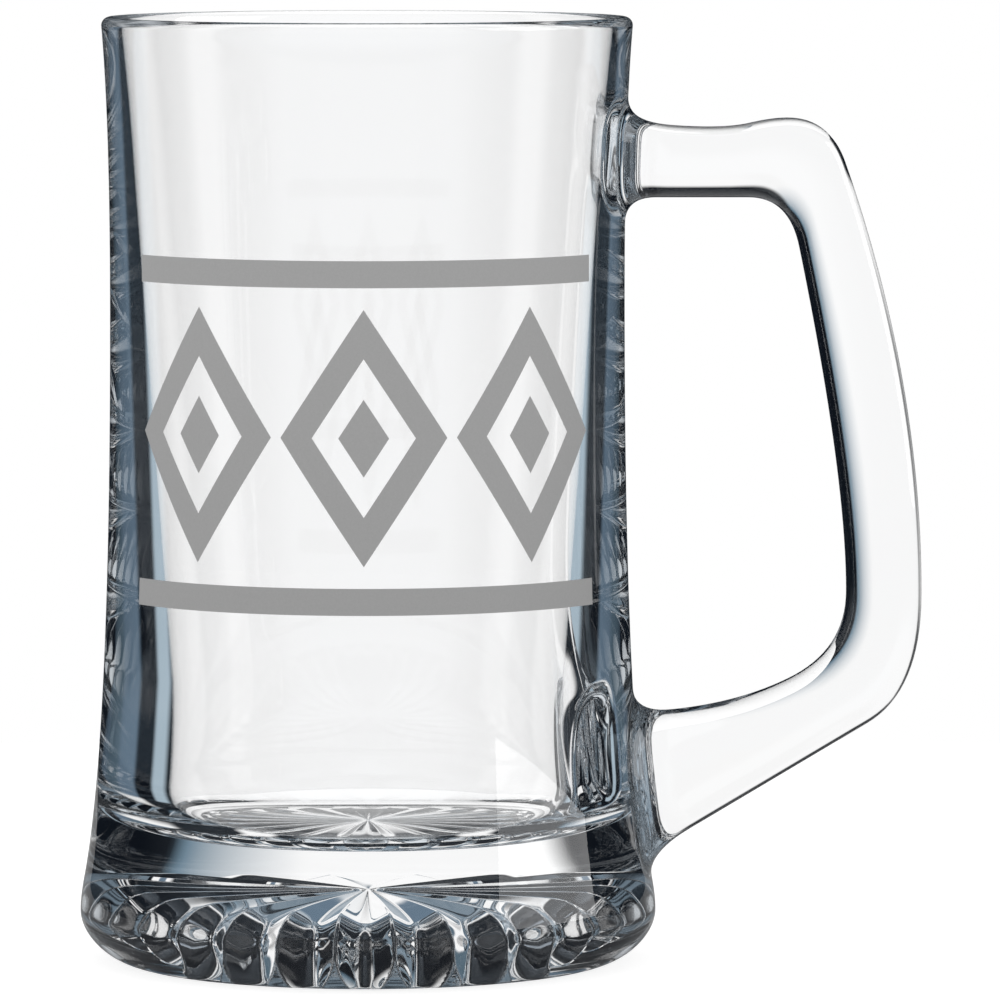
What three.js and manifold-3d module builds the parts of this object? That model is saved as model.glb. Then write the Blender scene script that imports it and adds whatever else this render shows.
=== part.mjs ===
// Clear glass beer mug: a pressed bowl on a heavy foot with a star under it, and a pressed glass handle
// stuck to its wall at two pads. Millimetres, +Z up. The mug stands on z = 0, the handle points along +X,
// and the origin lies on the table under the middle of the whole mug.

import * as THREE from 'three';
import { mergeVertices } from 'three/addons/utils/BufferGeometryUtils.js';
import Module from 'manifold-3d';

// Bowl, outside
const mugHeight = 143.4;
const rimRadius = 40.2;
const rimWall = 2.6;
const lipBelowRim = 15.4; // where the lip's flare and the upright wall would meet if both ran straight
const waistRadius = 39;
const waistBelowRim = 40.4;
const flareHeight = 35; // where the foot's flare and the upright wall would meet if both ran straight
const shoulderCornerHeight = 9.6; // where the foot's upright side and its flare would meet
const shoulderRound = 3;
const footRadius = 43.8;
const footWidestHeight = 7.7;

// Standing ring under the foot, and the round that leads from it up to the foot's widest place
const standInset = 8;
const standWidth = 2;
const roundPullOut = 3.2; // how strongly the round follows the table, and below the widest place the wall
const roundPullDown = 4;

// Star pressed into the underside: rays run out over its ceiling and slope down to a collar inside the ring
const starRays = 24;
const starApexHeight = 10.1;
const starEdgeRadius = 26;
const starEdgeDrop = 1.5;
const starCorner = 3;
const rayDepth = 1.6;
const grooveOverrun = 7.6; // how far past the standing ring a groove would reach the table, without the collar
const collarTuck = 5; // how far the collar has drawn in at the height of the ceiling's edge

// Bowl, inside
const lipInnerRadius = 36.4;
const lipInnerBelowRim = 8.4;
const lipInnerRound = 15;
const narrowRadius = 29.8; // the inside is narrowest a little above its floor
const narrowHeight = 36;
const narrowRound = 8;
const floorThickness = 9; // glass between the star's apex and the floor of the bowl
const floorRadius = 30.9;
const floorFillet = 8;

// Handle, outer edge: the bar with its saddle and thumb rest, the leaning grip, the heel and the lower bar
const handleWidth = 16;
const handleReach = 45; // out from the waist
const barBelowRim = 15.8;
const saddleDip = 1.7;
const thumbRise = 0.4;
const thumbRun = 5.8;
const thumbRound = 2.4;
const elbowRun = 8.5;
const elbowDrop = 6.5;
const elbowInset = 11.7; // in from the furthest reach of the grip
const elbowLean = 0.35; // run outwards for each millimetre down
const heelHeight = 36.5;
const heelInset = 8.1;
const heelRise = 19.5; // from the end of the lower bar up to the upright grip
const lowerBarSlope = 0.6;

// Handle, inner edge
const barDepth = 11.5;
const gripDepth = 11.25;
const innerElbowRun = 7.8;
const innerElbowDrop = 7.7;
const innerElbowInset = 7.25;
const innerElbowLean = 0.2065;
const innerHeelInset = 8.85;
const innerHeelRise = 6.1; // above the outer heel
const innerHeelSlope = 0.486;
const lowerPadRise = 1.1; // top of the lower bar at the wall, above the outer heel

// Pads of the handle and the weld
const padFillet = 4;
const weldGap = 0.3;

// Section of the handle: nearly flat faces and square edges outside, round towards the fingers
const squareEdge = 6;
const roundEdge = 3;

// Fineness of the facets
const sidesPerRay = 4;
const handleSides = 16;
const wallSteps = 9;
const rimSteps = 6;
const bendSteps = 5;
const sideSteps = 4;
const cornerSteps = 2;
const barSteps = 9;
const gripSteps = 8;

const glassColour = 0xe4eeee;
const glassRoughness = 0.03;
const glassOpacity = 0.35;

const point = (x, y) => new THREE.Vector2(x, y);

// Where the line through p along u meets the line through q along v.
function meet(p, u, q, v) {
  const share = q.clone().sub(p).cross(v) / u.cross(v);
  return p.clone().addScaledVector(u, share);
}

const bend = (from, control, to, steps) => new THREE.QuadraticBezierCurve(from, control, to).getPoints(steps);

// The point at a distance from one point towards another.
const towards = (from, to, distance) => from.clone().addScaledVector(to.clone().sub(from).normalize(), distance);

// Profiles of the bowl, as radius and height
const aroundSides = starRays * sidesPerRay;
const rimRound = rimWall / 2;
const rimCentreHeight = mugHeight - rimRound;
const waistHeight = mugHeight - waistBelowRim;
const floorHeight = starApexHeight + floorThickness;
const standRadius = footRadius - standInset;
const standInnerRadius = standRadius - standWidth;

const waist = point(waistRadius, waistHeight);
const footWidest = point(footRadius, footWidestHeight);
const flareCorner = point(waistRadius, flareHeight);
const shoulderCorner = point(footRadius, shoulderCornerHeight);
const shoulder = towards(shoulderCorner, flareCorner, shoulderRound);
const rimOuter = point(rimRadius, rimCentreHeight);

function outerWall() {
  const onTable = point(standRadius + roundPullOut, 0);
  const onWall = point(footRadius, footWidestHeight - roundPullDown);
  const round = new THREE.CubicBezierCurve(point(standRadius, 0), onTable, onWall, footWidest);
  return [
    ...round.getPoints(bendSteps),
    ...bend(footWidest, shoulderCorner, shoulder, cornerSteps).slice(1),
    ...bend(shoulder, flareCorner, waist, wallSteps).slice(1),
    ...bend(waist, point(waistRadius, mugHeight - lipBelowRim), rimOuter, bendSteps).slice(1),
  ];
}

// Half circle over the rim, down the tapered inside to its narrowest place, out a little to the floor's
// corner, and in to the middle of the floor.
function rimAndInside() {
  const rim = [];
  for (let step = 1; step <= rimSteps; step += 1) {
    const turn = (Math.PI * step) / rimSteps;
    const radius = rimRadius - rimRound + rimRound * Math.cos(turn);
    rim.push(point(radius, rimCentreHeight + rimRound * Math.sin(turn)));
  }
  const lip = point(lipInnerRadius, mugHeight - lipInnerBelowRim);
  const narrow = point(narrowRadius, narrowHeight);
  const floorCorner = point(floorRadius, floorHeight);
  const floorMiddle = point(0, floorHeight);
  const lipLow = towards(lip, narrow, lipInnerRound);
  const narrowTop = towards(narrow, lip, narrowRound);
  const narrowLow = towards(narrow, floorCorner, narrowRound);
  const cornerTop = towards(floorCorner, narrow, floorFillet);
  const cornerEnd = towards(floorCorner, floorMiddle, floorFillet);
  return [
    ...rim,
    ...bend(rim.at(-1), lip, lipLow, cornerSteps).slice(1),
    ...new THREE.LineCurve(lipLow, narrowTop).getPoints(bendSteps).slice(1),
    ...bend(narrowTop, narrow, narrowLow, cornerSteps).slice(1),
    ...bend(cornerTop, floorCorner, cornerEnd, bendSteps),
    cornerEnd.clone().lerp(floorMiddle, 0.5),
    floorMiddle,
  ];
}

// Radius of the collar, which cuts off the star's grooves, at a height.
function collarRadius(height) {
  const share = height / (starApexHeight - starEdgeDrop);
  return standInnerRadius - collarTuck * share * share;
}

// Star from its apex out to the standing ring. Wave is 1 in the groove of a ray and -1 on the ridge between.
function starProfile(wave) {
  const apex = point(0, starApexHeight);
  const edge = point(starEdgeRadius, starApexHeight - starEdgeDrop + (wave * rayDepth) / 2);
  const foot = point(standInnerRadius + (grooveOverrun * (wave + 1)) / 2, 0);
  const ceilingEnd = towards(edge, apex, starCorner);
  const sideStart = towards(edge, foot, starCorner);
  const side = new THREE.LineCurve(sideStart, foot).getPoints(sideSteps).slice(1);
  return [
    apex,
    apex.clone().lerp(ceilingEnd, 0.5),
    ...bend(ceilingEnd, edge, sideStart, cornerSteps),
    ...side.map((spot) => point(Math.min(spot.x, collarRadius(spot.y)), spot.y)),
  ];
}

function triangleWave(turns) {
  const phase = turns - Math.floor(turns);
  return 1 - 4 * Math.abs(phase - 0.5);
}

// The lathe turns about its own Y axis. Turned upright, its first seam faces -Y.
function revolve(profile) {
  return new THREE.LatheGeometry(profile, aroundSides).rotateX(Math.PI / 2);
}

function mugBodyGeometry() {
  const star = starProfile(0);
  const profile = [...star, ...outerWall(), ...rimAndInside()];
  const geometry = revolve(profile);
  const position = geometry.attributes.position;
  for (let side = 0; side <= aroundSides; side += 1) {
    const share = (side % aroundSides) / aroundSides;
    const turn = 2 * Math.PI * share;
    starProfile(triangleWave(share * starRays)).forEach((spot, step) => {
      const x = spot.x * Math.sin(turn);
      const y = -spot.x * Math.cos(turn);
      position.setXYZ(side * profile.length + step, x, y, spot.y);
    });
  }
  geometry.computeVertexNormals();
  return geometry;
}

const wallOutline = outerWall();

function wallRadiusAt(height) {
  const above = wallOutline.findIndex((spot) => spot.y > height);
  const last = wallOutline.length - 1;
  const index = above < 0 ? last : Math.max(above, 1);
  const lower = wallOutline[index - 1];
  const upper = wallOutline[index];
  return THREE.MathUtils.mapLinear(height, lower.y, upper.y, lower.x, upper.x);
}

// Edges of the handle in its plane of symmetry: distance from the bowl's axis, and height
const down = point(0, -1);
const level = point(1, 0);
const gripReach = waistRadius + handleReach;
const innerGripReach = gripReach - gripDepth;
const gripLowHeight = heelHeight + heelRise;
const barHeight = mugHeight - barBelowRim;
const innerBarHeight = barHeight - barDepth;
const lowerPadHeight = heelHeight + lowerPadRise;
const heel = point(gripReach - heelInset, heelHeight);
const lowerBar = point(1, lowerBarSlope);

// Both bars start a fillet's depth inside the wall, so that the wall cuts their ends.
const barStart = wallRadiusAt(barHeight) - padFillet;
const lowerBarFoot = meet(heel, lowerBar, point(footRadius, 0), down).y;
const lowerBarEnd = Math.min(wallRadiusAt(lowerPadHeight), wallRadiusAt(lowerBarFoot)) - padFillet;

function outerEdge() {
  const elbow = point(gripReach - elbowInset, barHeight + thumbRise - elbowDrop);
  const thumb = point(elbow.x - elbowRun, barHeight + thumbRise);
  const thumbStart = point(thumb.x - thumbRun, barHeight - thumbRise);
  const thumbCorner = point(thumb.x - thumbRound, thumb.y);
  const rise = thumbCorner.clone().sub(thumbStart);
  const saddle = meet(thumbStart, rise, point(0, barHeight - saddleDip), level);
  const gripLow = point(gripReach, gripLowHeight);
  const lean = point(elbowLean, -1);
  const end = meet(heel, lowerBar, point(lowerBarEnd, 0), down);
  return {
    bar: bend(point(barStart, barHeight), saddle, thumbStart, barSteps),
    thumb: bend(thumbStart, thumbCorner, thumb, bendSteps),
    elbow: bend(thumb, meet(thumb, level, elbow, lean), elbow, bendSteps),
    grip: bend(elbow, meet(elbow, lean, gripLow, down), gripLow, gripSteps),
    heel: bend(gripLow, meet(gripLow, down, heel, lowerBar), heel, bendSteps),
    lowerBar: new THREE.LineCurve(heel, end).getPoints(barSteps),
  };
}

function innerEdge() {
  const elbow = point(innerGripReach - innerElbowInset, innerBarHeight - innerElbowDrop);
  const barEnd = point(elbow.x - innerElbowRun, innerBarHeight);
  const underThumb = point(barEnd.x - thumbRun / 2, innerBarHeight);
  const gripLow = point(innerGripReach, gripLowHeight);
  const innerHeel = point(innerGripReach - innerHeelInset, heelHeight + innerHeelRise);
  const end = point(lowerBarEnd, lowerPadHeight);
  const lean = point(innerElbowLean, -1);
  const slope = point(1, innerHeelSlope);
  return {
    bar: new THREE.LineCurve(point(barStart, innerBarHeight), underThumb).getPoints(barSteps),
    thumb: new THREE.LineCurve(underThumb, barEnd).getPoints(bendSteps),
    elbow: bend(barEnd, meet(barEnd, level, elbow, lean), elbow, bendSteps),
    grip: bend(elbow, meet(elbow, lean, gripLow, down), gripLow, gripSteps),
    heel: bend(gripLow, meet(gripLow, down, innerHeel, slope), innerHeel, bendSteps),
    lowerBar: bend(innerHeel, meet(innerHeel, slope, end, level), end, barSteps),
  };
}

function joined(edge) {
  return Object.values(edge).flatMap((stretch, index) => (index === 0 ? stretch : stretch.slice(1)));
}

// How far a pad swells at a distance out from the wall.
function padSwell(distance) {
  const share = THREE.MathUtils.clamp(1 - distance / padFillet, 0, 1);
  return padFillet * share * share;
}

const rounded = (value, power) => Math.sign(value) * Math.abs(value) ** (2 / power);

// One ring of the handle between matching points of its two edges.
function handleRing(outer, inner) {
  const middle = outer.clone().add(inner).multiplyScalar(0.5);
  const half = outer.clone().sub(inner).multiplyScalar(0.5);
  const out = half.clone().normalize();
  const ring = [];
  for (let side = 0; side < handleSides; side += 1) {
    const turn = (2 * Math.PI * side) / handleSides;
    const across = Math.cos(turn);
    const along = Math.sin(turn);
    const power = across > 0 ? squareEdge : roundEdge;
    const spot = middle.clone().addScaledVector(half, rounded(across, power));
    const y = (rounded(along, power) * handleWidth) / 2;
    const swell = padSwell(Math.hypot(spot.x, y) - wallRadiusAt(spot.y));
    spot.addScaledVector(out, swell * across);
    ring.push(new THREE.Vector3(spot.x, y + swell * along, spot.y));
  }
  return ring;
}

function handleBlankGeometry() {
  const outer = joined(outerEdge());
  const inner = joined(innerEdge());
  const rings = outer.map((spot, index) => handleRing(spot, inner[index]));
  const spots = rings.flat();
  const faces = [];
  for (let step = 0; step + 1 < rings.length; step += 1) {
    for (let side = 0; side < handleSides; side += 1) {
      const here = step * handleSides + side;
      const next = step * handleSides + ((side + 1) % handleSides);
      faces.push(here, here + handleSides, next);
      faces.push(next, here + handleSides, next + handleSides);
    }
  }
  const last = (rings.length - 1) * handleSides;
  for (let side = 1; side + 1 < handleSides; side += 1) {
    faces.push(0, side, side + 1);
    faces.push(last, last + side + 1, last + side);
  }
  const geometry = new THREE.BufferGeometry().setFromPoints(spots);
  geometry.setIndex(faces);
  return geometry;
}

// Everything inside the outer wall, grown by the gap of the weld.
function wallClearanceGeometry() {
  const grown = wallOutline.map((spot) => point(spot.x + weldGap, spot.y));
  const top = grown.at(-1).y;
  return revolve([point(0, 0), ...grown, point(0, top)]);
}

const wasm = await Module();
wasm.setup();

function solid(geometry) {
  const bare = geometry.clone();
  bare.deleteAttribute('normal');
  bare.deleteAttribute('uv');
  const merged = mergeVertices(bare);
  const corners = merged.index.array;
  const kept = [];
  for (let start = 0; start < corners.length; start += 3) {
    const [a, b, c] = corners.slice(start, start + 3);
    if (a !== b && b !== c && c !== a) kept.push(a, b, c);
  }
  const vertProperties = new Float32Array(merged.attributes.position.array);
  return new wasm.Manifold(new wasm.Mesh({ numProp: 3, vertProperties, triVerts: new Uint32Array(kept) }));
}

function fromSolid(body) {
  const mesh = body.getMesh();
  const geometry = new THREE.BufferGeometry();
  geometry.setAttribute('position', new THREE.BufferAttribute(mesh.vertProperties, 3));
  geometry.setIndex(new THREE.BufferAttribute(mesh.triVerts, 1));
  geometry.computeVertexNormals();
  return geometry;
}

function clearGlass() {
  return new THREE.MeshStandardMaterial({
    color: glassColour,
    roughness: glassRoughness,
    metalness: 0,
    transparent: true,
    opacity: glassOpacity,
  });
}

function piece(name, geometry) {
  const mesh = new THREE.Mesh(geometry, clearGlass());
  mesh.name = name;
  return mesh;
}

const handleSolid = solid(handleBlankGeometry()).subtract(solid(wallClearanceGeometry()));

const mug = new THREE.Group();
mug.add(piece('mug_body', mugBodyGeometry()));
mug.add(piece('handle', fromSolid(handleSolid)));
mug.position.x = (footRadius - gripReach) / 2;

export default mug;
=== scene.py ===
import math

import bpy
import numpy as np
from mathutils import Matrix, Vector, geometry


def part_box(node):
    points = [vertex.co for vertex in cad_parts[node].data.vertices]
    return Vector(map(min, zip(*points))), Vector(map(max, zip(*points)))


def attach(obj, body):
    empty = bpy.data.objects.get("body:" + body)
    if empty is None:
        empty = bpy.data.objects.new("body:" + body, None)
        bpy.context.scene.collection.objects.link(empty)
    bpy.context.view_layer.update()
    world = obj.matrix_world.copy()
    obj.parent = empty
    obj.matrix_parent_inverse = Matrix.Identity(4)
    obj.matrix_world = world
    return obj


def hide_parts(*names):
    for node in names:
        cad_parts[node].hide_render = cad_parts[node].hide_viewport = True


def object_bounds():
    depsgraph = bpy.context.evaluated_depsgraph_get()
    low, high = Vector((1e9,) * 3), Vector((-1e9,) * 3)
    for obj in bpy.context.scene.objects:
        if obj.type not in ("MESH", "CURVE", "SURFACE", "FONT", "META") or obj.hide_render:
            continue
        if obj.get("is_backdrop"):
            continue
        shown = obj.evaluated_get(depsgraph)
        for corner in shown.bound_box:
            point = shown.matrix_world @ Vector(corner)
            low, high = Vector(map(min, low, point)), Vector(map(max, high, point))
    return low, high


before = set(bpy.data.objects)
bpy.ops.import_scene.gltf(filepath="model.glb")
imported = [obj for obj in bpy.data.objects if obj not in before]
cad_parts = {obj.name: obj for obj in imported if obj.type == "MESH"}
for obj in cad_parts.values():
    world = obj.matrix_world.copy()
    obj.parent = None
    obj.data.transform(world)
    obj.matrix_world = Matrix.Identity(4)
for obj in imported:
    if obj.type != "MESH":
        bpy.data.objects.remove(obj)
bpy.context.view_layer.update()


# Mug body: one gather of clear soda-lime glass, pressed in a mould with a star of rays under its heavy foot.
# The rim is melted round over a flame afterwards. Lengths are millimetres, heights are above the table.
MM = 0.001
body_low, body_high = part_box("mug_body")
axis_x = (body_low.x + body_high.x) / 2 / MM
mug_height = body_high.z / MM
foot_radius = (body_high.x - body_low.x) / 2 / MM
rim_radius = 40.2
rim_wall = 2.6
lip_height = mug_height - 15.4
waist_radius = 39.0
waist_height = mug_height - 40.4
flare_height = 35.0
shoulder_corner_height, shoulder_round = 9.6, 3.0
foot_widest_height = 7.7
stand_radius = foot_radius - 8.0
stand_inner = stand_radius - 2.0
round_pull_out, round_pull_down = 3.2, 4.0
star_rays = 24
star_apex_height = 10.1
star_edge_radius, star_edge_drop = 26.0, 1.5
star_corner = 3.0
ray_depth = 1.6
ridge_round = 0.4
groove_overrun = 7.6
collar_tuck = 5.0
lip_inner = np.array((36.4, mug_height - 8.4))
lip_inner_round = 15.0
narrow = np.array((29.8, 36.0))
narrow_round = 8.0
floor_height = star_apex_height + 9.0
floor_radius = 30.9
floor_fillet = 8.0
columns_per_ray = 24
columns = star_rays * columns_per_ray


def bend(start, control, end, steps):
    """Points along a quadratic curve. The ends may be single points or rows of points."""
    share = np.linspace(0, 1, steps + 1).reshape(-1, *[1] * np.ndim(start))
    start, control, end = np.asarray(start), np.asarray(control), np.asarray(end)
    return start * (1 - share) ** 2 + control * 2 * share * (1 - share) + end * share**2


def unit(vectors):
    """Vectors of length 1 in the same directions."""
    return vectors / np.linalg.norm(vectors, axis=-1, keepdims=True)


def towards(start, end, distance):
    """The point at a distance from one point towards another."""
    return np.asarray(start) + unit(np.subtract(end, start)) * distance


def meet(spot, direction, other_spot, other_direction):
    """Where two straight lines cross."""
    away = np.subtract(other_spot, spot)
    crossing = direction[0] * other_direction[1] - direction[1] * other_direction[0]
    share = (away[0] * other_direction[1] - away[1] * other_direction[0]) / crossing
    return np.asarray(spot) + share * np.asarray(direction)


def star_profile(wave):
    """Radius and height from the star's apex to the standing ring: wave is -1 on a ridge, 1 in a groove."""
    apex = (0.0, star_apex_height)
    edge = (star_edge_radius, star_apex_height - star_edge_drop + wave * ray_depth / 2)
    foot = (stand_inner + groove_overrun * (wave + 1) / 2, 0.0)
    ceiling_end = towards(edge, apex, star_corner)
    side_start = towards(edge, foot, star_corner)
    side = np.linspace(side_start, foot, 25)[1:]
    collar_share = side[:, 1] / (star_apex_height - star_edge_drop)
    side[:, 0] = np.minimum(side[:, 0], stand_inner - collar_tuck * collar_share**2)
    return np.vstack([np.linspace(apex, ceiling_end, 12)[:-1], bend(ceiling_end, edge, side_start, 8), side])


down, level = (0.0, -1.0), (1.0, 0.0)
foot_widest = np.array((foot_radius, foot_widest_height))
shoulder_corner = np.array((foot_radius, shoulder_corner_height))
flare_corner = np.array((waist_radius, flare_height))
shoulder = towards(shoulder_corner, flare_corner, shoulder_round)
waist = np.array((waist_radius, waist_height))
on_table = np.array((stand_radius + round_pull_out, 0.0))
on_wall = foot_widest - (0.0, round_pull_down)
heel_steps = 24
heel_share = np.linspace(0, 1, heel_steps + 1)[:, None]
heel_start = bend((stand_radius, 0.0), on_table, on_wall, heel_steps)
heel_finish = bend(on_table, on_wall, foot_widest, heel_steps)
heel_curve = heel_start * (1 - heel_share) + heel_finish * heel_share
rim_round = rim_wall / 2
rim_centre_height = mug_height - rim_round
wall_curve = np.vstack([
    heel_curve,
    bend(foot_widest, shoulder_corner, shoulder, 8)[1:],
    bend(shoulder, flare_corner, waist, 56)[1:],
    bend(waist, (waist_radius, lip_height), (rim_radius, rim_centre_height), 24)[1:],
])

rim_turns = np.linspace(0, math.pi, 17)[1:]
rim_curve = np.stack(
    [
        rim_radius - rim_round + rim_round * np.cos(rim_turns),
        rim_centre_height + rim_round * np.sin(rim_turns),
    ],
    axis=1,
)
floor_corner, floor_middle = (floor_radius, floor_height), (0.0, floor_height)
lip_low = towards(lip_inner, narrow, lip_inner_round)
narrow_top = towards(narrow, lip_inner, narrow_round)
narrow_low = towards(narrow, floor_corner, narrow_round)
corner_top = towards(floor_corner, narrow, floor_fillet)
corner_end = towards(floor_corner, floor_middle, floor_fillet)
inside_curve = np.vstack([
    bend(rim_curve[-1], lip_inner, lip_low, 12)[1:],
    np.linspace(lip_low, narrow_top, 25)[1:],
    bend(narrow_top, narrow, narrow_low, 16)[1:],
    bend(corner_top, floor_corner, corner_end, 10),
    np.linspace(corner_end, floor_middle, 9)[1:],
])
plain_profile = np.vstack([wall_curve, rim_curve, inside_curve])

# Column 0 faces -Y and lies on a ridge. Columns go round towards +X, where the handle is.
turns = np.arange(columns) * 2 * math.pi / columns
ray_phase = np.arange(columns) % columns_per_ray / columns_per_ray
from_ridge = np.hypot(2 - 4 * np.abs(ray_phase - 0.5), ridge_round) - ridge_round
waves = 2 * from_ridge / from_ridge.max() - 1
profiles = np.stack([np.vstack([star_profile(wave), plain_profile]) for wave in waves], axis=1)
radii, heights = profiles[..., 0], profiles[..., 1]
body_grid = np.stack(
    [axis_x + radii * np.sin(turns), -radii * np.cos(turns), heights], axis=-1
)
along = np.gradient(body_grid, axis=0)
around = np.roll(body_grid, -1, axis=1) - np.roll(body_grid, 1, axis=1)
around[0] = around[1]
around[-1] = around[-2]
body_grid_normals = unit(np.cross(around, along))

# The two poles are single points, so only the rows between them hold a point for each column.
body_spots = np.vstack([body_grid[1:-1].reshape(-1, 3), body_grid[0, 0], body_grid[-1, 0]])
body_normals = np.vstack([body_grid_normals[1:-1].reshape(-1, 3), (0, 0, -1), (0, 0, 1)])
ring_rows = len(body_grid) - 2


def grid_faces(rows, around_count):
    """Quads of a tube of points that is closed round each row."""
    first = np.arange(rows - 1)[:, None] * around_count + np.arange(around_count)
    second = np.arange(rows - 1)[:, None] * around_count + (np.arange(around_count) + 1) % around_count
    return np.stack([first, second, second + around_count, first + around_count], axis=-1)


apex_index, floor_index = ring_rows * columns, ring_rows * columns + 1
last_row = (ring_rows - 1) * columns
body_quads = grid_faces(ring_rows, columns)
pole_faces = []
for column in range(columns):
    beside = (column + 1) % columns
    pole_faces.append((apex_index, beside, column))
    pole_faces.append((floor_index, last_row + column, last_row + beside))


def linear(hex_colour):
    """An sRGB hex colour as linear red, green, blue and alpha."""
    channels = [int(hex_colour[place : place + 2], 16) / 255 for place in (1, 3, 5)]
    return [c / 12.92 if c <= 0.04045 else ((c + 0.055) / 1.055) ** 2.4 for c in channels] + [1.0]


def add_node(tree, kind, inputs=None, **settings):
    """A node of a kind with its settings; each input takes a value or the output socket that feeds it."""
    node = tree.nodes.new(kind)
    for name, value in settings.items():
        setattr(node, name, value)
    for socket, value in (inputs or {}).items():
        if isinstance(value, bpy.types.NodeSocket):
            tree.links.new(value, node.inputs[socket])
        else:
            node.inputs[socket].default_value = value
    return node


# Clear soda-lime glass, pressed and fire polished: without grain, so the eye gets bent light and dark edges.
# The mould leaves faint waves a few micrometres high, which make those edges wander a little.
pressed_glass = bpy.data.materials.new("soda_lime_glass_pressed_and_fire_polished")
pressed_glass.use_nodes = True
glass_tree = pressed_glass.node_tree
glass_tree.nodes.clear()
mould_wave, chill_wave = 14.0, 4.0
wave_height = 0.002
chill_share = 0.2
place = add_node(glass_tree, "ShaderNodeTexCoord")
mould_waves = add_node(
    glass_tree,
    "ShaderNodeTexNoise",
    {"Vector": place.outputs["Object"], "Scale": 1 / (mould_wave * MM), "Detail": 0.0},
)
chill_waves = add_node(
    glass_tree,
    "ShaderNodeTexNoise",
    {"Vector": place.outputs["Object"], "Scale": 1 / (chill_wave * MM), "Detail": 1.0},
)
waves_mixed = add_node(
    glass_tree,
    "ShaderNodeMath",
    {0: chill_waves.outputs["Fac"], 1: chill_share, 2: mould_waves.outputs["Fac"]},
    operation="MULTIPLY_ADD",
)
ripple = add_node(
    glass_tree,
    "ShaderNodeBump",
    {"Height": waves_mixed.outputs["Value"], "Distance": wave_height * MM, "Strength": 1.0},
)
glass_surface = add_node(
    glass_tree,
    "ShaderNodeBsdfPrincipled",
    {
        "Base Color": linear("#FFFFFF"),
        "Roughness": 0.0,
        "IOR": 1.52,
        "Transmission Weight": 1.0,
        "Normal": ripple.outputs["Normal"],
    },
)
add_node(glass_tree, "ShaderNodeOutputMaterial", {"Surface": glass_surface.outputs["BSDF"]})

# Two gathers of the same glass, melted into each other: nothing bends or reflects light at the seam.
melted_seam = bpy.data.materials.new("soda_lime_glass_melted_seam")
melted_seam.use_nodes = True
seam_tree = melted_seam.node_tree
seam_tree.nodes.clear()
seam_clear = add_node(seam_tree, "ShaderNodeBsdfTransparent")
add_node(seam_tree, "ShaderNodeOutputMaterial", {"Surface": seam_clear.outputs["BSDF"]})


def lay_mesh(mesh, spots, normals, faces, finishes):
    """Fills a mesh with points in millimetres, their normals, faces and each face's material number."""
    mesh.clear_geometry()
    mesh.from_pydata(np.asarray(spots) * MM, [], faces, shade_flat=False)
    mesh.polygons.foreach_set("material_index", finishes)
    mesh.normals_split_custom_set_from_vertices(np.asarray(normals))
    mesh.update()


def new_piece(name, *materials):
    """An empty mesh object in the scene with its materials."""
    piece = bpy.data.objects.new(name, bpy.data.meshes.new(name))
    for material in materials:
        piece.data.materials.append(material)
    bpy.context.scene.collection.objects.link(piece)
    return piece


bowl = new_piece("bowl_and_foot", pressed_glass, melted_seam)
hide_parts("mug_body")
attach(bowl, "root")


# Handle: a second gather of the same glass, pressed by itself and stuck hot to the bowl's wall at two pads.
# It is nearly flat on its sides and outside, and round where the fingers go. Each pad spreads onto the wall.
handle_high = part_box("handle")[1]
grip_reach = handle_high.x / MM - axis_x
handle_width = 16.0
bar_height = mug_height - 15.8
saddle_dip = 1.7
thumb_rise, thumb_run, thumb_round = 0.4, 5.8, 2.4
elbow_run, elbow_drop, elbow_inset, elbow_lean = 8.5, 6.5, 11.7, 0.35
heel_height, heel_inset, heel_rise = 36.5, 8.1, 19.5
lower_bar_slope = 0.6
bar_depth, grip_depth = 11.5, 11.25
inner_elbow_run, inner_elbow_drop, inner_elbow_inset, inner_elbow_lean = 7.8, 7.7, 7.25, 0.2065
inner_heel_inset, inner_heel_rise, inner_heel_slope = 8.85, 6.1, 0.486
lower_pad_rise = 1.1
pad_fillet = 4.0
pad_search, search_halvings = 20.0, 40
pad_steps = 12
square_edge, round_edge = 6.0, 3.0
handle_sides = 64


def wall_radius(height):
    """Radius of the bowl's outer wall at a height."""
    return np.interp(height, wall_curve[:, 1], wall_curve[:, 0])


inner_reach = grip_reach - grip_depth
grip_low_height = heel_height + heel_rise
inner_bar_height = bar_height - bar_depth
lower_pad_height = heel_height + lower_pad_rise
bar_start = waist_radius
bar_steps, bend_steps, grip_steps = 30, 16, 40

# Outer edge, as distance from the bowl's axis and height
elbow = np.array((grip_reach - elbow_inset, bar_height + thumb_rise - elbow_drop))
thumb = np.array((elbow[0] - elbow_run, bar_height + thumb_rise))
thumb_start = np.array((thumb[0] - thumb_run, bar_height - thumb_rise))
thumb_corner = thumb - (thumb_round, 0.0)
saddle = meet(thumb_start, thumb_corner - thumb_start, (0.0, bar_height - saddle_dip), level)
grip_low = np.array((grip_reach, grip_low_height))
heel = np.array((grip_reach - heel_inset, heel_height))
lower_bar = (1.0, lower_bar_slope)
lower_bar_end = meet(heel, lower_bar, (bar_start, 0.0), down)
lean = (elbow_lean, -1.0)
outer_edge = np.vstack([
    bend((bar_start, bar_height), saddle, thumb_start, bar_steps),
    bend(thumb_start, thumb_corner, thumb, bend_steps)[1:],
    bend(thumb, meet(thumb, level, elbow, lean), elbow, bend_steps)[1:],
    bend(elbow, meet(elbow, lean, grip_low, down), grip_low, grip_steps)[1:],
    bend(grip_low, meet(grip_low, down, heel, lower_bar), heel, bend_steps)[1:],
    np.linspace(heel, lower_bar_end, bar_steps + 1)[1:],
])

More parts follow.
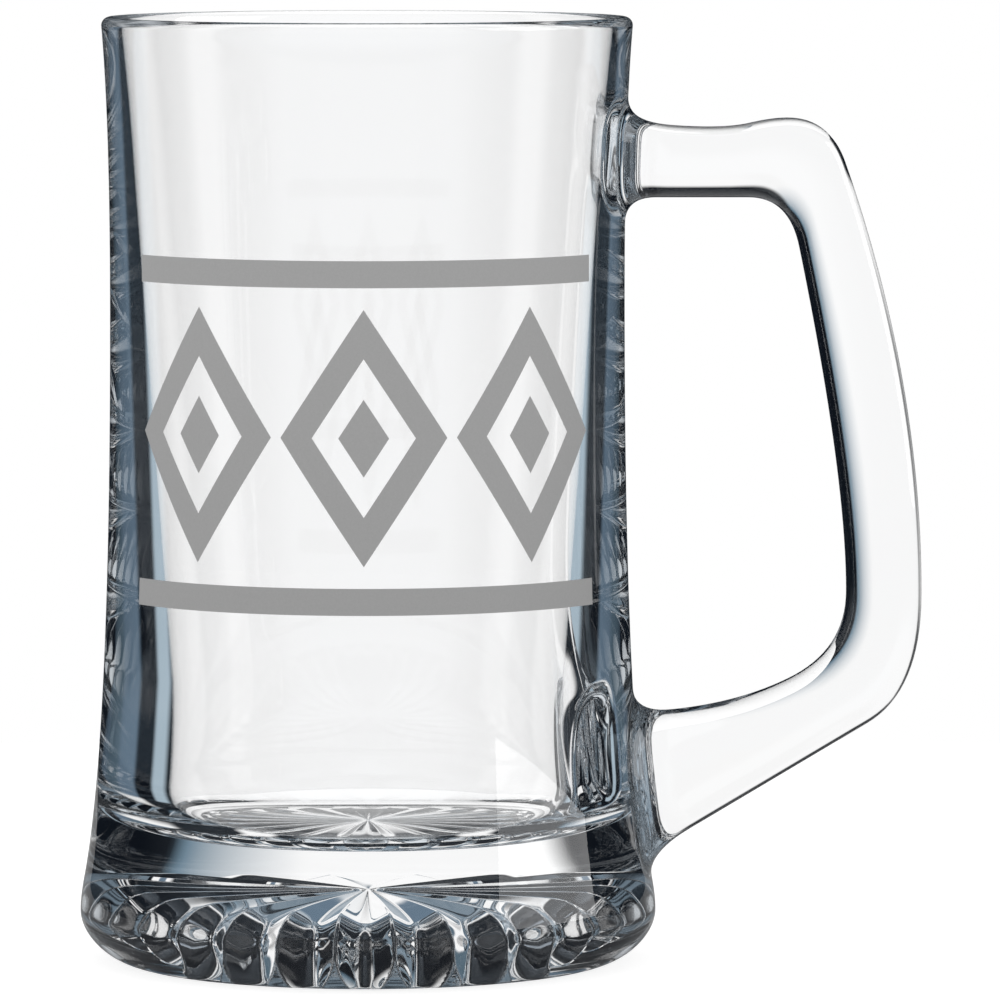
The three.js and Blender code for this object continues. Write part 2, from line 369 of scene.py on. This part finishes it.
# Inner edge, with as many points on each stretch as the outer edge has
inner_elbow = np.array((inner_reach - inner_elbow_inset, inner_bar_height - inner_elbow_drop))
bar_end = np.array((inner_elbow[0] - inner_elbow_run, inner_bar_height))
under_thumb = bar_end - (thumb_run / 2, 0.0)
inner_grip_low = np.array((inner_reach, grip_low_height))
inner_heel = np.array((inner_reach - inner_heel_inset, heel_height + inner_heel_rise))
inner_end = np.array((bar_start, lower_pad_height))
inner_lean, heel_slope = (inner_elbow_lean, -1.0), (1.0, inner_heel_slope)
inner_edge = np.vstack([
    np.linspace((bar_start, inner_bar_height), under_thumb, bar_steps + 1),
    np.linspace(under_thumb, bar_end, bend_steps + 1)[1:],
    bend(bar_end, meet(bar_end, level, inner_elbow, inner_lean), inner_elbow, bend_steps)[1:],
    bend(inner_elbow, meet(inner_elbow, inner_lean, inner_grip_low, down), inner_grip_low, grip_steps)[1:],
    bend(inner_grip_low, meet(inner_grip_low, down, inner_heel, heel_slope), inner_heel, bend_steps)[1:],
    bend(inner_heel, meet(inner_heel, heel_slope, inner_end, level), inner_end, bar_steps)[1:],
])

side_turns = np.arange(handle_sides) * 2 * math.pi / handle_sides
powers = np.where(np.cos(side_turns) > 0, square_edge, round_edge)
across = np.sign(np.cos(side_turns)) * np.abs(np.cos(side_turns)) ** (2 / powers)
sideways = np.sign(np.sin(side_turns)) * np.abs(np.sin(side_turns)) ** (2 / powers)


def wall_spots(angles, heights):
    """Points on the bowl's wall at angles from the handle's plane, seen from the bowl's own axis."""
    radius = wall_radius(heights)
    return np.stack([radius * np.cos(angles), radius * np.sin(angles), heights], axis=-1)


def wall_normals(angles, heights):
    """Outward normals of the bowl's wall at those places."""
    reach = 0.2
    slope = (wall_radius(heights + reach) - wall_radius(heights - reach)) / (2 * reach)
    return unit(np.stack([np.cos(angles), np.sin(angles), -slope], axis=-1))


# Stations that stand clear of both pads keep the plain section.
clear_of_wall = np.minimum(outer_edge[:, 0], inner_edge[:, 0]) - wall_radius(outer_edge[:, 1]) > pad_fillet
middles = (outer_edge + inner_edge)[clear_of_wall] / 2
halves = (outer_edge - inner_edge)[clear_of_wall] / 2
flat_rings = middles[:, None] + halves[:, None] * across[None, :, None]
widths = np.broadcast_to(sideways * handle_width / 2, flat_rings.shape[:2])
rings = np.stack([flat_rings[..., 0], widths, flat_rings[..., 1]], axis=-1)


def pad_rows(end_ring, next_ring):
    """Rows from the end of the plain section to the wall, and the pad's outline there as angle and height."""
    heading = unit(end_ring - next_ring)
    near, far = np.zeros(handle_sides), np.full(handle_sides, pad_search)
    for _ in range(search_halvings):
        half_way = (near + far) / 2
        spots = end_ring + heading * half_way[:, None]
        outside = np.hypot(spots[:, 0], spots[:, 1]) > wall_radius(spots[:, 2])
        near = np.where(outside, half_way, near)
        far = np.where(outside, far, half_way)
    touch = end_ring + heading * near[:, None]
    unrolled = np.stack([np.arctan2(touch[:, 1], touch[:, 0]) * waist_radius, touch[:, 2]], axis=1)
    run = np.roll(unrolled, -1, axis=0) - np.roll(unrolled, 1, axis=0)
    outwards = unit(np.stack([run[:, 1], -run[:, 0]], axis=1))
    middle = unrolled.mean(axis=0)
    outwards *= np.sign(np.sum(outwards * (unrolled - middle), axis=1).sum())
    outline = unrolled + outwards * pad_fillet
    angles, outline_heights = outline[:, 0] / waist_radius, outline[:, 1]
    feet = wall_spots(angles, outline_heights)
    foot_normals = wall_normals(angles, outline_heights)
    to_plane = np.sum((feet - end_ring) * foot_normals, axis=1) / np.sum(heading * foot_normals, axis=1)
    knees = end_ring + heading * to_plane[:, None]
    return bend(end_ring, knees, feet, pad_steps)[1:], np.stack([angles, outline_heights], axis=1)


top_rows, top_outline = pad_rows(rings[0], rings[1])
low_rows, low_outline = pad_rows(rings[-1], rings[-2])
handle_grid = np.concatenate([top_rows[::-1], rings, low_rows])
along = np.gradient(handle_grid, axis=0)
around = np.roll(handle_grid, -1, axis=1) - np.roll(handle_grid, 1, axis=1)
handle_normals = unit(np.cross(along, around))
handle_normals[0] = wall_normals(top_outline[:, 0], top_outline[:, 1])
handle_normals[-1] = wall_normals(low_outline[:, 0], low_outline[:, 1])
handle_spots = handle_grid.reshape(-1, 3)
handle_normals = handle_normals.reshape(-1, 3)
handle_faces = grid_faces(len(handle_grid), handle_sides)[..., ::-1].reshape(-1, 4).tolist()
handle_finishes = [0] * len(handle_faces)

# The wall under each pad is cut anew along the pad's outline. The faces inside it are the melted seam.
# The handle's ends are closed by the same faces turned round.
patch_margin = 1.5
crowding = 0.25
same_spot = 1e-6
handle_column = columns // 4
body_faces = []
body_finishes = []
in_patch = np.zeros(body_quads.shape[:2], bool)
row_heights = heights[1:-1, 0]
wall_first = len(star_profile(0.0)) - 1
wall_rows = np.arange(wall_first, wall_first + len(wall_curve))
grid_angles = (np.arange(columns) - handle_column) * 2 * math.pi / columns
handle_centre = np.array((axis_x, 0.0, 0.0))
for outline, end_row in ((top_outline, 0), (low_outline, len(handle_grid) - 1)):
    reach = np.abs(outline[:, 0]).max() + patch_margin / waist_radius
    low, high = outline[:, 1].min() - patch_margin, outline[:, 1].max() + patch_margin
    rows = wall_rows[(row_heights[wall_rows] > low) & (row_heights[wall_rows] < high)]
    sides = np.where(np.abs(grid_angles) < reach)[0]
    in_patch[np.ix_(rows[:-1], sides[:-1])] = True
    grid_places = np.stack(
        np.meshgrid(grid_angles[sides] * waist_radius, row_heights[rows]), axis=-1
    ).reshape(-1, 2)
    grid_indices = (rows[:, None] * columns + sides).reshape(-1)
    ring_places = outline * (waist_radius, 1.0)
    gaps = np.linalg.norm(grid_places[:, None] - ring_places[None], axis=-1).min(axis=1)
    kept = gaps > crowding
    ring_indices = len(body_spots) + np.arange(handle_sides)
    indices = np.concatenate([ring_indices, grid_indices[kept]])
    places = np.concatenate([ring_places, grid_places[kept]])
    body_spots = np.vstack([body_spots, wall_spots(outline[:, 0], outline[:, 1]) + handle_centre])
    body_normals = np.vstack([body_normals, wall_normals(outline[:, 0], outline[:, 1])])
    ring_edges = [(side, (side + 1) % handle_sides) for side in range(handle_sides)]
    cut = geometry.delaunay_2d_cdt(places.tolist(), ring_edges, [], 0, same_spot, True)
    cut_places, cut_faces, cut_sources = np.array([spot[:] for spot in cut[0]]), cut[2], cut[3]
    sources = [source[0] for source in cut_sources]
    seam_numbers = {}
    for face in cut_faces:
        middle = cut_places[list(face)].mean(axis=0)
        ends = np.roll(ring_places, -1, axis=0)
        crosses = (ring_places[:, 1] > middle[1]) != (ends[:, 1] > middle[1])
        climb = np.where(crosses, ends[:, 1] - ring_places[:, 1], 1.0)
        share = (middle[1] - ring_places[:, 1]) / climb
        crossing = ring_places[:, 0] + share * (ends[:, 0] - ring_places[:, 0])
        inside = np.count_nonzero(crosses & (crossing > middle[0])) % 2
        body_faces.append([int(indices[sources[corner]]) for corner in face])
        body_finishes.append(int(inside))
        if not inside:
            continue
        for corner in face:
            source = sources[corner]
            if source < handle_sides:
                seam_numbers[corner] = end_row * handle_sides + source
            elif corner not in seam_numbers:
                seam_numbers[corner] = len(handle_spots)
                handle_spots = np.vstack([handle_spots, body_spots[indices[source]] - handle_centre])
                handle_normals = np.vstack([handle_normals, -body_normals[indices[source]]])
        handle_faces.append([seam_numbers[corner] for corner in reversed(face)])
        handle_finishes.append(1)

handle = new_piece("handle_stuck_on", pressed_glass, melted_seam)
lay_mesh(handle.data, handle_spots + handle_centre, handle_normals, handle_faces, handle_finishes)
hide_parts("handle")
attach(handle, "root")

kept_quads = body_quads[~in_patch].tolist()
body_faces = body_faces + kept_quads + pole_faces
body_finishes = body_finishes + [0] * (len(kept_quads) + len(pole_faces))
used = np.unique(np.concatenate([np.ravel(face) for face in body_faces]))
new_numbers = np.full(len(body_spots), -1)
new_numbers[used] = np.arange(len(used))
body_faces = [[int(new_numbers[corner]) for corner in face] for face in body_faces]
lay_mesh(bowl.data, body_spots[used], body_normals[used], body_faces, body_finishes)


# Printed band: matt grey enamel, screen printed on the outside of the wall and fired on.
# Two stripes run over the front with three lozenges between them, all a few hundredths of a millimetre thick.
print_back, print_front = 0.01, 0.04
stroke = 4.0
stripe_heights = (58.0, 106.4)
stripe_reach = 40.0
lozenge_middle = sum(stripe_heights) / 2
lozenge_wide, lozenge_tall = 25.0, 38.0
lozenge_pitch = 26.5
heart_wide, heart_tall = 7.5, 11.5
print_step = 1.2
stroke_rows, side_points = 5, 20


def front_spots(places, lift):
    """Points at places on the front wall (run towards the handle, height), lifted off the glass."""
    angles = places[..., 0] / waist_radius
    radius = wall_radius(places[..., 1]) + lift
    return np.stack([axis_x + radius * np.sin(angles), -radius * np.cos(angles), places[..., 1]], axis=-1)


def lozenge(wide, tall):
    """Corners of a lozenge round the origin."""
    return np.array([(wide / 2, 0.0), (0.0, tall / 2), (-wide / 2, 0.0), (0.0, -tall / 2)])


def filled(corners):
    """A grid of places that fills a four-sided outline."""
    steps = math.ceil(max(np.ptp(corners, axis=0)) / print_step)
    share = np.linspace(0, 1, steps + 1)[:, None]
    near = corners[0] + (corners[3] - corners[0]) * share
    far = corners[1] + (corners[2] - corners[1]) * share
    return near[:, None] + (far - near)[:, None] * share


prints = []
for height in stripe_heights:
    ends = np.array([(-stripe_reach, height), (stripe_reach, height)])
    run = np.linspace(*ends, math.ceil(2 * stripe_reach / print_step) + 1)
    prints.append((np.stack([run - (0.0, stroke / 2), run + (0.0, stroke / 2)]), False))
for number in (-1, 0, 1):
    middle = np.array((number * lozenge_pitch, lozenge_middle))
    outer = lozenge(lozenge_wide, lozenge_tall)
    slant = math.hypot(lozenge_wide, lozenge_tall)
    inner_wide = lozenge_wide - 2 * stroke * slant / lozenge_tall
    inner_tall = lozenge_tall - 2 * stroke * slant / lozenge_wide
    inner = lozenge(inner_wide, inner_tall)
    sides = np.arange(4)[:, None] + np.linspace(0, 1, side_points, endpoint=False)
    whole, part = sides.astype(int).ravel(), (sides % 1).ravel()[:, None]
    outer_loop = outer[whole] * (1 - part) + outer[(whole + 1) % 4] * part
    inner_loop = inner[whole] * (1 - part) + inner[(whole + 1) % 4] * part
    across_share = np.linspace(0, 1, stroke_rows)[:, None, None]
    prints.append((middle + outer_loop * (1 - across_share) + inner_loop * across_share, True))
    prints.append((middle + filled(lozenge(heart_wide, heart_tall)), False))

print_spots, print_faces = [], []
for places, closed in prints:
    rows, places_round = places.shape[:2]
    first = sum(len(spots) for spots in print_spots)
    flip = rows * places_round
    print_spots.append(front_spots(places, print_front).reshape(-1, 3))
    print_spots.append(front_spots(places, print_back).reshape(-1, 3))
    corner = first + np.arange(flip).reshape(rows, places_round)
    if closed:
        corner = np.hstack([corner, corner[:, :1]])
    quads = np.stack(
        [corner[:-1, :-1], corner[:-1, 1:], corner[1:, 1:], corner[1:, :-1]], axis=-1
    ).reshape(-1, 4)
    rims = [corner[0], corner[-1, ::-1]]
    if not closed:
        rims += [corner[::-1, 0], corner[:, -1]]
    sides = np.vstack([
        np.stack([rim[1:], rim[:-1], rim[:-1] + flip, rim[1:] + flip], axis=-1) for rim in rims
    ])
    print_faces += quads.tolist() + (quads[:, ::-1] + flip).tolist() + sides.tolist()

# Fired enamel, screen printed and matt: flat grey with a fine dusty grain, without any shine.
fired_enamel = bpy.data.materials.new("grey_enamel_screen_printed_and_fired")
fired_enamel.use_nodes = True
enamel_tree = fired_enamel.node_tree
enamel_tree.nodes.clear()
grain_size = 0.3
grain_height = 0.004
enamel_place = add_node(enamel_tree, "ShaderNodeTexCoord")
grain = add_node(
    enamel_tree,
    "ShaderNodeTexNoise",
    {"Vector": enamel_place.outputs["Object"], "Scale": 1 / (grain_size * MM), "Detail": 2.0},
)
grain_tones = add_node(enamel_tree, "ShaderNodeValToRGB", {"Fac": grain.outputs["Fac"]})
grain_tones.color_ramp.elements[0].color = linear("#ACACAC")
grain_tones.color_ramp.elements[1].color = linear("#B6B6B6")
grain_bump = add_node(
    enamel_tree,
    "ShaderNodeBump",
    {"Height": grain.outputs["Fac"], "Distance": grain_height * MM, "Strength": 1.0},
)
enamel_surface = add_node(
    enamel_tree,
    "ShaderNodeBsdfPrincipled",
    {
        "Base Color": grain_tones.outputs["Color"],
        "Roughness": 0.9,
        "Specular IOR Level": 0.2,
        "Normal": grain_bump.outputs["Normal"],
    },
)
add_node(enamel_tree, "ShaderNodeOutputMaterial", {"Surface": enamel_surface.outputs["BSDF"]})
band = new_piece("printed_band", fired_enamel)
band.data.from_pydata(np.vstack(print_spots) * MM, [], print_faces)
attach(band, "root")


# Table under the mug: a plain pale board, bright enough to read as white paper, that takes the mug's shadow.
# A steep look straight through the glass meets it. Other light out of the glass goes on to the cards.
floor_reach = 320.0
floor_sides = 96
steep_look = 30.0
half_count = 0.5
floor_turns = np.arange(floor_sides) * 2 * math.pi / floor_sides
floor_spots = floor_reach * np.stack(
    [np.cos(floor_turns), np.sin(floor_turns), np.zeros(floor_sides)], axis=1
)
table = bpy.data.objects.new("table", bpy.data.meshes.new("table"))
table.data.from_pydata(floor_spots * MM, [], [list(range(floor_sides))])
bpy.context.scene.collection.objects.link(table)
table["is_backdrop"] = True
pale_board = bpy.data.materials.new("pale_board_matt")
pale_board.use_nodes = True
board_tree = pale_board.node_tree
board_tree.nodes.clear()
board_path = add_node(board_tree, "ShaderNodeLightPath")
board_place = add_node(board_tree, "ShaderNodeNewGeometry")
from_axis = add_node(
    board_tree,
    "ShaderNodeVectorMath",
    {0: board_place.outputs["Position"], 1: (axis_x * MM, 0.0, 0.0)},
    operation="DISTANCE",
)
fall = add_node(board_tree, "ShaderNodeSeparateXYZ", {"Vector": board_place.outputs["Incoming"]})
seen_straight = board_path.outputs["Is Transmission Ray"]
for value, limit, side in [
    (from_axis.outputs["Value"], foot_radius * MM, "GREATER_THAN"),
    (fall.outputs["Z"], math.sin(math.radians(steep_look)), "GREATER_THAN"),
    (board_path.outputs["Glossy Depth"], half_count, "LESS_THAN"),
]:
    held = add_node(board_tree, "ShaderNodeMath", {0: value, 1: limit}, operation=side)
    both = add_node(
        board_tree,
        "ShaderNodeMath",
        {0: seen_straight, 1: held.outputs["Value"]},
        operation="MULTIPLY",
    )
    seen_straight = both.outputs["Value"]
glow_share = add_node(
    board_tree,
    "ShaderNodeMath",
    {0: board_path.outputs["Is Camera Ray"], 1: seen_straight},
    operation="MAXIMUM",
)
board_glow = add_node(
    board_tree,
    "ShaderNodeEmission",
    {"Color": linear("#EEEEEE"), "Strength": glow_share.outputs["Value"]},
)
board_matt = add_node(board_tree, "ShaderNodeBsdfDiffuse", {"Color": linear("#9A9A9A")})
board_look = add_node(
    board_tree,
    "ShaderNodeAddShader",
    {0: board_glow.outputs["Emission"], 1: board_matt.outputs["BSDF"]},
)
seen_bent = add_node(
    board_tree,
    "ShaderNodeMath",
    {0: board_path.outputs["Is Transmission Ray"], 1: seen_straight},
    operation="SUBTRACT",
)
board_gone = add_node(board_tree, "ShaderNodeBsdfTransparent")
board_shown = add_node(
    board_tree,
    "ShaderNodeMixShader",
    {0: seen_bent.outputs["Value"], 1: board_look.outputs["Shader"], 2: board_gone.outputs["BSDF"]},
)
add_node(board_tree, "ShaderNodeOutputMaterial", {"Surface": board_shown.outputs["Shader"]})
table.data.materials.append(pale_board)


# Studio: a white card behind the glass and smaller ones round it, with dark gaps between that draw its edges.
# Azimuths are degrees from +Y towards +X, as the light leaves the glass. Above the cards the room is dark.
dark, pewter, slate, steel, pale, white = "#0E1218", "#566A78", "#64788A", "#AABCC8", "#DDE3E8", "#FFFFFF"
dusk = "#6C8596"
fill = "#FAFAFA"
room_before, room_beside = "#A0AAB4", "#141A22"
room_turn, room_softness = 95.0, 25.0
card_edges = [
    (-180, pale), (-140, pale), (-112, dark), (-104, dark), (-98, white), (-82, white), (-76, dark),
    (-37, dark), (-30, white), (8, white), (30, dusk), (34, dark), (76, dark), (82, white), (98, white),
    (104, dark), (112, dark), (140, pale), (180, pale),
]
flag_edges = [
    (-180, dark), (-62, dark), (-58, steel), (-50, steel), (-47, dark), (-33, dark), (-29, slate),
    (-12, slate), (-7, pewter), (7, pewter), (12, slate), (24, slate), (28, dark), (44, dark), (48, steel),
    (58, steel), (62, dark), (180, dark),
]
flag_top, flag_foot, flag_softness = -3.0, -22.0, 2.0
bowl_card_edge, bowl_card_softness = 48.0, 4.0
ceiling_edge, ceiling_softness = 20.0, 4.0
sill_edge, sill_softness = -36.0, 8.0
sill_reach = 62.0
bowl_faces = 4
wandering_bounces = 3
wandering_share = 0.75
wandering_tone = "#8496A4"
wandering_reach, wandering_softness = 40.0, 10.0
studio = bpy.data.worlds.new("bright_field_studio")
bpy.context.scene.world = studio
studio.use_nodes = True
studio_tree = studio.node_tree
studio_tree.nodes.clear()
way = add_node(studio_tree, "ShaderNodeTexCoord")
parts = add_node(studio_tree, "ShaderNodeSeparateXYZ", {"Vector": way.outputs["Generated"]})


def tones_round(edges):
    """Colours round the studio that change at the given azimuths."""
    ramp = add_node(studio_tree, "ShaderNodeValToRGB", {"Fac": turn_share.outputs["Result"]})
    for stop, (degrees, tone) in enumerate(edges):
        if stop < 2:
            edge = ramp.color_ramp.elements[stop]
            edge.position = (degrees + 180) / 360
        else:
            edge = ramp.color_ramp.elements.new((degrees + 180) / 360)
        edge.color = linear(tone)
    return ramp.outputs["Color"]


def soft_step(value, low, high):
    """Rises from 0 to 1 as an angle goes from low to high degrees, and falls if high is below low."""
    step = add_node(
        studio_tree,
        "ShaderNodeMapRange",
        {"Value": value, "From Min": math.radians(low), "From Max": math.radians(high)},
        interpolation_type="SMOOTHSTEP",
    )
    return step.outputs["Result"]


def combine(operation, *values):
    """The result of a sum on one or two values."""
    sum_node = add_node(studio_tree, "ShaderNodeMath", dict(enumerate(values)), operation=operation)
    return sum_node.outputs["Value"]


def blend(share, first, second):
    """A colour between two others."""
    mix = add_node(studio_tree, "ShaderNodeMix", {0: share, 6: first, 7: second}, data_type="RGBA")
    return mix.outputs[2]


azimuth = combine("ARCTAN2", parts.outputs["X"], parts.outputs["Y"])
turn_share = add_node(
    studio_tree, "ShaderNodeMapRange", {"Value": azimuth, "From Min": -math.pi, "From Max": math.pi}
)
rise = combine("ARCSINE", parts.outputs["Z"])
to_side = combine("ABSOLUTE", azimuth)
studio_path = add_node(studio_tree, "ShaderNodeLightPath")

# Light that crosses the bowl has gone through four faces of glass and meets the white card.
# Light that the inside of the wall has mirrored meets the flags at the card's sides.
crosses_bowl = combine("GREATER_THAN", studio_path.outputs["Transmission Depth"], bowl_faces - half_count)
in_bowl_card = soft_step(to_side, bowl_card_edge + bowl_card_softness, bowl_card_edge - bowl_card_softness)
bowl_share = combine("MULTIPLY", crosses_bowl, in_bowl_card)
mirrored_inside = combine("GREATER_THAN", studio_path.outputs["Glossy Depth"], half_count)
in_wall = combine("MULTIPLY", mirrored_inside, combine("SUBTRACT", 1.0, crosses_bowl))
under_flag_top = soft_step(rise, flag_top + flag_softness, flag_top - flag_softness)
over_flag_foot = soft_step(rise, flag_foot - flag_softness, flag_foot + flag_softness)
flag_share = combine("MULTIPLY", in_wall, combine("MULTIPLY", under_flag_top, over_flag_foot))
tones = blend(flag_share, blend(bowl_share, tones_round(card_edges), linear(white)), tones_round(flag_edges))

under_ceiling = soft_step(rise, ceiling_edge + ceiling_softness, ceiling_edge - ceiling_softness)
over_sill = soft_step(rise, sill_edge - sill_softness, sill_edge + sill_softness)
beside_sill = combine("GREATER_THAN", to_side, math.radians(sill_reach))
in_card = combine("MULTIPLY", under_ceiling, combine("MAXIMUM", over_sill, beside_sill))
pattern = blend(in_card, linear(dark), tones)

# Light that the glass has mirrored again and again comes from all round, so it has one middle tone.
wandered = combine("GREATER_THAN", studio_path.outputs["Glossy Depth"], wandering_bounces - half_count)
ahead = soft_step(to_side, wandering_reach + wandering_softness, wandering_reach - wandering_softness)
room_share = combine("MULTIPLY", combine("MULTIPLY", wandered, ahead), wandering_share)
pattern = blend(room_share, pattern, linear(wandering_tone))
through = blend(studio_path.outputs["Is Transmission Ray"], linear(fill), pattern)

# The glass's outer faces mirror the room: grey before the mug, dark beside and behind it.
off_glass = combine(
    "MULTIPLY", studio_path.outputs["Is Reflection Ray"], studio_path.outputs["Is Glossy Ray"]
)
before_glass = soft_step(to_side, room_turn - room_softness, room_turn + room_softness)
room = blend(before_glass, linear(room_beside), linear(room_before))
mirrored = blend(off_glass, through, room)
shown = blend(studio_path.outputs["Is Camera Ray"], mirrored, linear(white))
studio_light = add_node(studio_tree, "ShaderNodeBackground", {"Color": shown, "Strength": 1.0})
add_node(studio_tree, "ShaderNodeOutputWorld", {"Surface": studio_light.outputs["Background"]})


# Soft lamp: a large and distant one at the right and a little in front.
# Its lower edge is a little above the table, so that only the flared foot mirrors it.
lamp_distance = 2500.0
lamp_turn, lamp_rise = 80.0, 20.5
lamp_wide, lamp_tall = 2300.0, 1800.0
lamp_power = 32.0
lamp = bpy.data.objects.new("soft_lamp", bpy.data.lights.new("soft_lamp", "AREA"))
lamp.data.shape = "RECTANGLE"
lamp.data.size = lamp_wide * MM
lamp.data.size_y = lamp_tall * MM
lamp.data.energy = lamp_power
lamp.visible_camera = False
lamp.visible_transmission = False
lamp.visible_diffuse = False
lamp.data.use_nodes = True
lamp_tree = lamp.data.node_tree
lamp_tree.nodes.clear()
lamp_path = add_node(lamp_tree, "ShaderNodeLightPath")
first_shine = add_node(
    lamp_tree,
    "ShaderNodeMath",
    {0: lamp_path.outputs["Transmission Depth"], 1: half_count},
    operation="LESS_THAN",
)
lamp_glow = add_node(lamp_tree, "ShaderNodeEmission", {"Strength": first_shine.outputs["Value"]})
add_node(lamp_tree, "ShaderNodeOutputLight", {"Surface": lamp_glow.outputs["Emission"]})
bpy.context.scene.collection.objects.link(lamp)
lamp_level = lamp_distance * math.cos(math.radians(lamp_rise))
lamp.location = (
    (axis_x + lamp_level * math.sin(math.radians(lamp_turn))) * MM,
    -lamp_level * math.cos(math.radians(lamp_turn)) * MM,
    (floor_height + lamp_distance * math.sin(math.radians(lamp_rise))) * MM,
)
lamp.rotation_euler = (math.radians(90 - lamp_rise), 0.0, math.radians(lamp_turn))


# Camera: a long lens a little above the table, square on to the handle's plane.
# Its height and distance follow the ellipses of the rim and the foot in the photograph.
photo_size = 1000
camera_distance = 1357.0
camera_rise = 4.54
camera_aim = 70.03
focal_pixels = 8932.0
camera = bpy.data.objects.new("camera", bpy.data.cameras.new("camera"))
bpy.context.scene.collection.objects.link(camera)
bpy.context.scene.camera = camera
camera.data.lens = camera.data.sensor_width * focal_pixels / photo_size
camera.data.clip_end = 20.0
camera_tilt = math.radians(camera_rise)
camera.location = (
    0.0,
    -camera_distance * math.cos(camera_tilt) * MM,
    (camera_aim + camera_distance * math.sin(camera_tilt)) * MM,
)
camera.rotation_euler = (math.pi / 2 - camera_tilt, 0.0, 0.0)

bpy.context.scene.view_settings.view_transform = "Standard"
bpy.context.scene.cycles.max_bounces = 64
bpy.context.scene.cycles.transmission_bounces = 48
bpy.context.scene.cycles.glossy_bounces = 48

low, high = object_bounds()
